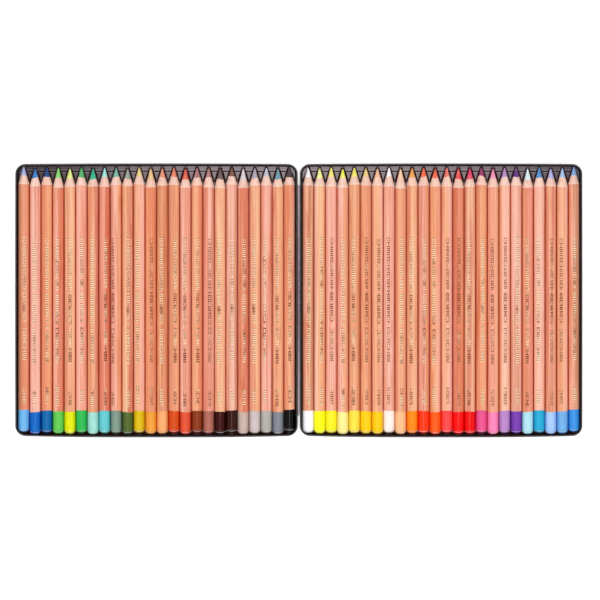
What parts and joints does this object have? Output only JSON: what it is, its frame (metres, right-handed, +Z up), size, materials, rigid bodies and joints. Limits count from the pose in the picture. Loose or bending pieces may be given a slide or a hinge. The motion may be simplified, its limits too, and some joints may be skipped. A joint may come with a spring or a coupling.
{
  "type": "colored pencil tin",
  "caption": "Slim hinged metal tin lying open, both halves lined with a channelled insert holding a row of round cedar pastel pencils with colour-dipped ends.",
  "frame": {"origin": "middle of the open tin's footprint, on the surface it lies on, under the hinge", "axes": "+X runs across both halves from the base half to the lid half and is the longest extent, +Y points the way the pencil tips point, +Z is up"},
  "size_m": [0.3756, 0.1814, 0.0096],
  "materials": {
    "tin_lacquer": "dark graphite stoving lacquer on drawn tinplate, satin gloss with a fine orange peel, worn brighter along the curled rim",
    "insert_sheet": "dark grey vacuum-formed sheet with a soft satin sheen",
    "hinge_tinplate": "bare bright tinplate strip with fine lines along it",
    "hinge_wire": "drawn steel wire",
    "cedar": "natural reddish cedar, turned round and clear lacquered, with straight grain",
    "pencil_dip": "thick glossy lacquer dip in the pencil's own colour",
    "pastel_core": "dry chalky pastel in the pencil's own colour",
    "foil_stamp": "hot-stamped foil marks on the cedar"
  },
  "bodies": {
    "base": {"base_shell": "tin_lacquer", "base_insert": "insert_sheet", "base_hinge_leaf": "hinge_tinplate", "hinge_pin": "hinge_wire"},
    "lid": {"lid_shell": "tin_lacquer", "lid_insert": "insert_sheet", "lid_hinge_leaf": "hinge_tinplate"},
    "base_pencil_01": {"base_pencil_01": "cedar"},
    "base_pencil_02": {"base_pencil_02": "cedar"},
    "base_pencil_03": {"base_pencil_03": "cedar"},
    "base_pencil_04": {"base_pencil_04": "cedar"},
    "base_pencil_05": {"base_pencil_05": "cedar"},
    "base_pencil_06": {"base_pencil_06": "cedar"},
    "base_pencil_07": {"base_pencil_07": "cedar"},
    "base_pencil_08": {"base_pencil_08": "cedar"},
    "base_pencil_09": {"base_pencil_09": "cedar"},
    "base_pencil_10": {"base_pencil_10": "cedar"},
    "base_pencil_11": {"base_pencil_11": "cedar"},
    "base_pencil_12": {"base_pencil_12": "cedar"},
    "base_pencil_13": {"base_pencil_13": "cedar"},
    "base_pencil_14": {"base_pencil_14": "cedar"},
    "base_pencil_15": {"base_pencil_15": "cedar"},
    "base_pencil_16": {"base_pencil_16": "cedar"},
    "base_pencil_17": {"base_pencil_17": "cedar"},
    "base_pencil_18": {"base_pencil_18": "cedar"},
    "base_pencil_19": {"base_pencil_19": "cedar"},
    "base_pencil_20": {"base_pencil_20": "cedar"},
    "base_pencil_21": {"base_pencil_21": "cedar"},
    "base_pencil_22": {"base_pencil_22": "cedar"},
    "base_pencil_23": {"base_pencil_23": "cedar"},
    "base_pencil_24": {"base_pencil_24": "cedar"},
    "lid_pencil_01": {"lid_pencil_01": "cedar"},
    "lid_pencil_02": {"lid_pencil_02": "cedar"},
    "lid_pencil_03": {"lid_pencil_03": "cedar"},
    "lid_pencil_04": {"lid_pencil_04": "cedar"},
    "lid_pencil_05": {"lid_pencil_05": "cedar"},
    "lid_pencil_06": {"lid_pencil_06": "cedar"},
    "lid_pencil_07": {"lid_pencil_07": "cedar"},
    "lid_pencil_08": {"lid_pencil_08": "cedar"},
    "lid_pencil_09": {"lid_pencil_09": "cedar"},
    "lid_pencil_10": {"lid_pencil_10": "cedar"},
    "lid_pencil_11": {"lid_pencil_11": "cedar"},
    "lid_pencil_12": {"lid_pencil_12": "cedar"},
    "lid_pencil_13": {"lid_pencil_13": "cedar"},
    "lid_pencil_14": {"lid_pencil_14": "cedar"},
    "lid_pencil_15": {"lid_pencil_15": "cedar"},
    "lid_pencil_16": {"lid_pencil_16": "cedar"},
    "lid_pencil_17": {"lid_pencil_17": "cedar"},
    "lid_pencil_18": {"lid_pencil_18": "cedar"},
    "lid_pencil_19": {"lid_pencil_19": "cedar"},
    "lid_pencil_20": {"lid_pencil_20": "cedar"},
    "lid_pencil_21": {"lid_pencil_21": "cedar"},
    "lid_pencil_22": {"lid_pencil_22": "cedar"},
    "lid_pencil_23": {"lid_pencil_23": "cedar"},
    "lid_pencil_24": {"lid_pencil_24": "cedar"}
  },
  "joints": [
    {"name": "lid_hinge", "type": "hinge", "parent": "base", "child": "lid", "pos_m": [0, 0, 0.009], "axis": [0, 1, 0], "range_deg": [-180, 0]},
    {"name": "base_pencil_01_lift", "type": "slide", "parent": "base", "child": "base_pencil_01", "axis": [0, 0, 1], "range_m": [0, 0.025]},
    {"name": "base_pencil_02_lift", "type": "slide", "parent": "base", "child": "base_pencil_02", "axis": [0, 0, 1], "range_m": [0, 0.025]},
    {"name": "base_pencil_03_lift", "type": "slide", "parent": "base", "child": "base_pencil_03", "axis": [0, 0, 1], "range_m": [0, 0.025]},
    {"name": "base_pencil_04_lift", "type": "slide", "parent": "base", "child": "base_pencil_04", "axis": [0, 0, 1], "range_m": [0, 0.025]},
    {"name": "base_pencil_05_lift", "type": "slide", "parent": "base", "child": "base_pencil_05", "axis": [0, 0, 1], "range_m": [0, 0.025]},
    {"name": "base_pencil_06_lift", "type": "slide", "parent": "base", "child": "base_pencil_06", "axis": [0, 0, 1], "range_m": [0, 0.025]},
    {"name": "base_pencil_07_lift", "type": "slide", "parent": "base", "child": "base_pencil_07", "axis": [0, 0, 1], "range_m": [0, 0.025]},
    {"name": "base_pencil_08_lift", "type": "slide", "parent": "base", "child": "base_pencil_08", "axis": [0, 0, 1], "range_m": [0, 0.025]},
    {"name": "base_pencil_09_lift", "type": "slide", "parent": "base", "child": "base_pencil_09", "axis": [0, 0, 1], "range_m": [0, 0.025]},
    {"name": "base_pencil_10_lift", "type": "slide", "parent": "base", "child": "base_pencil_10", "axis": [0, 0, 1], "range_m": [0, 0.025]},
    {"name": "base_pencil_11_lift", "type": "slide", "parent": "base", "child": "base_pencil_11", "axis": [0, 0, 1], "range_m": [0, 0.025]},
    {"name": "base_pencil_12_lift", "type": "slide", "parent": "base", "child": "base_pencil_12", "axis": [0, 0, 1], "range_m": [0, 0.025]},
    {"name": "base_pencil_13_lift", "type": "slide", "parent": "base", "child": "base_pencil_13", "axis": [0, 0, 1], "range_m": [0, 0.025]},
    {"name": "base_pencil_14_lift", "type": "slide", "parent": "base", "child": "base_pencil_14", "axis": [0, 0, 1], "range_m": [0, 0.025]},
    {"name": "base_pencil_15_lift", "type": "slide", "parent": "base", "child": "base_pencil_15", "axis": [0, 0, 1], "range_m": [0, 0.025]},
    {"name": "base_pencil_16_lift", "type": "slide", "parent": "base", "child": "base_pencil_16", "axis": [0, 0, 1], "range_m": [0, 0.025]},
    {"name": "base_pencil_17_lift", "type": "slide", "parent": "base", "child": "base_pencil_17", "axis": [0, 0, 1], "range_m": [0, 0.025]},
    {"name": "base_pencil_18_lift", "type": "slide", "parent": "base", "child": "base_pencil_18", "axis": [0, 0, 1], "range_m": [0, 0.025]},
    {"name": "base_pencil_19_lift", "type": "slide", "parent": "base", "child": "base_pencil_19", "axis": [0, 0, 1], "range_m": [0, 0.025]},
    {"name": "base_pencil_20_lift", "type": "slide", "parent": "base", "child": "base_pencil_20", "axis": [0, 0, 1], "range_m": [0, 0.025]},
    {"name": "base_pencil_21_lift", "type": "slide", "parent": "base", "child": "base_pencil_21", "axis": [0, 0, 1], "range_m": [0, 0.025]},
    {"name": "base_pencil_22_lift", "type": "slide", "parent": "base", "child": "base_pencil_22", "axis": [0, 0, 1], "range_m": [0, 0.025]},
    {"name": "base_pencil_23_lift", "type": "slide", "parent": "base", "child": "base_pencil_23", "axis": [0, 0, 1], "range_m": [0, 0.025]},
    {"name": "base_pencil_24_lift", "type": "slide", "parent": "base", "child": "base_pencil_24", "axis": [0, 0, 1], "range_m": [0, 0.025]},
    {"name": "lid_pencil_01_lift", "type": "slide", "parent": "lid", "child": "lid_pencil_01", "axis": [0, 0, 1], "range_m": [0, 0.025]},
    {"name": "lid_pencil_02_lift", "type": "slide", "parent": "lid", "child": "lid_pencil_02", "axis": [0, 0, 1], "range_m": [0, 0.025]},
    {"name": "lid_pencil_03_lift", "type": "slide", "parent": "lid", "child": "lid_pencil_03", "axis": [0, 0, 1], "range_m": [0, 0.025]},
    {"name": "lid_pencil_04_lift", "type": "slide", "parent": "lid", "child": "lid_pencil_04", "axis": [0, 0, 1], "range_m": [0, 0.025]},
    {"name": "lid_pencil_05_lift", "type": "slide", "parent": "lid", "child": "lid_pencil_05", "axis": [0, 0, 1], "range_m": [0, 0.025]},
    {"name": "lid_pencil_06_lift", "type": "slide", "parent": "lid", "child": "lid_pencil_06", "axis": [0, 0, 1], "range_m": [0, 0.025]},
    {"name": "lid_pencil_07_lift", "type": "slide", "parent": "lid", "child": "lid_pencil_07", "axis": [0, 0, 1], "range_m": [0, 0.025]},
    {"name": "lid_pencil_08_lift", "type": "slide", "parent": "lid", "child": "lid_pencil_08", "axis": [0, 0, 1], "range_m": [0, 0.025]},
    {"name": "lid_pencil_09_lift", "type": "slide", "parent": "lid", "child": "lid_pencil_09", "axis": [0, 0, 1], "range_m": [0, 0.025]},
    {"name": "lid_pencil_10_lift", "type": "slide", "parent": "lid", "child": "lid_pencil_10", "axis": [0, 0, 1], "range_m": [0, 0.025]},
    {"name": "lid_pencil_11_lift", "type": "slide", "parent": "lid", "child": "lid_pencil_11", "axis": [0, 0, 1], "range_m": [0, 0.025]},
    {"name": "lid_pencil_12_lift", "type": "slide", "parent": "lid", "child": "lid_pencil_12", "axis": [0, 0, 1], "range_m": [0, 0.025]},
    {"name": "lid_pencil_13_lift", "type": "slide", "parent": "lid", "child": "lid_pencil_13", "axis": [0, 0, 1], "range_m": [0, 0.025]},
    {"name": "lid_pencil_14_lift", "type": "slide", "parent": "lid", "child": "lid_pencil_14", "axis": [0, 0, 1], "range_m": [0, 0.025]},
    {"name": "lid_pencil_15_lift", "type": "slide", "parent": "lid", "child": "lid_pencil_15", "axis": [0, 0, 1], "range_m": [0, 0.025]},
    {"name": "lid_pencil_16_lift", "type": "slide", "parent": "lid", "child": "lid_pencil_16", "axis": [0, 0, 1], "range_m": [0, 0.025]},
    {"name": "lid_pencil_17_lift", "type": "slide", "parent": "lid", "child": "lid_pencil_17", "axis": [0, 0, 1], "range_m": [0, 0.025]},
    {"name": "lid_pencil_18_lift", "type": "slide", "parent": "lid", "child": "lid_pencil_18", "axis": [0, 0, 1], "range_m": [0, 0.025]},
    {"name": "lid_pencil_19_lift", "type": "slide", "parent": "lid", "child": "lid_pencil_19", "axis": [0, 0, 1], "range_m": [0, 0.025]},
    {"name": "lid_pencil_20_lift", "type": "slide", "parent": "lid", "child": "lid_pencil_20", "axis": [0, 0, 1], "range_m": [0, 0.025]},
    {"name": "lid_pencil_21_lift", "type": "slide", "parent": "lid", "child": "lid_pencil_21", "axis": [0, 0, 1], "range_m": [0, 0.025]},
    {"name": "lid_pencil_22_lift", "type": "slide", "parent": "lid", "child": "lid_pencil_22", "axis": [0, 0, 1], "range_m": [0, 0.025]},
    {"name": "lid_pencil_23_lift", "type": "slide", "parent": "lid", "child": "lid_pencil_23", "axis": [0, 0, 1], "range_m": [0, 0.025]},
    {"name": "lid_pencil_24_lift", "type": "slide", "parent": "lid", "child": "lid_pencil_24", "axis": [0, 0, 1], "range_m": [0, 0.025]}
  ]
}
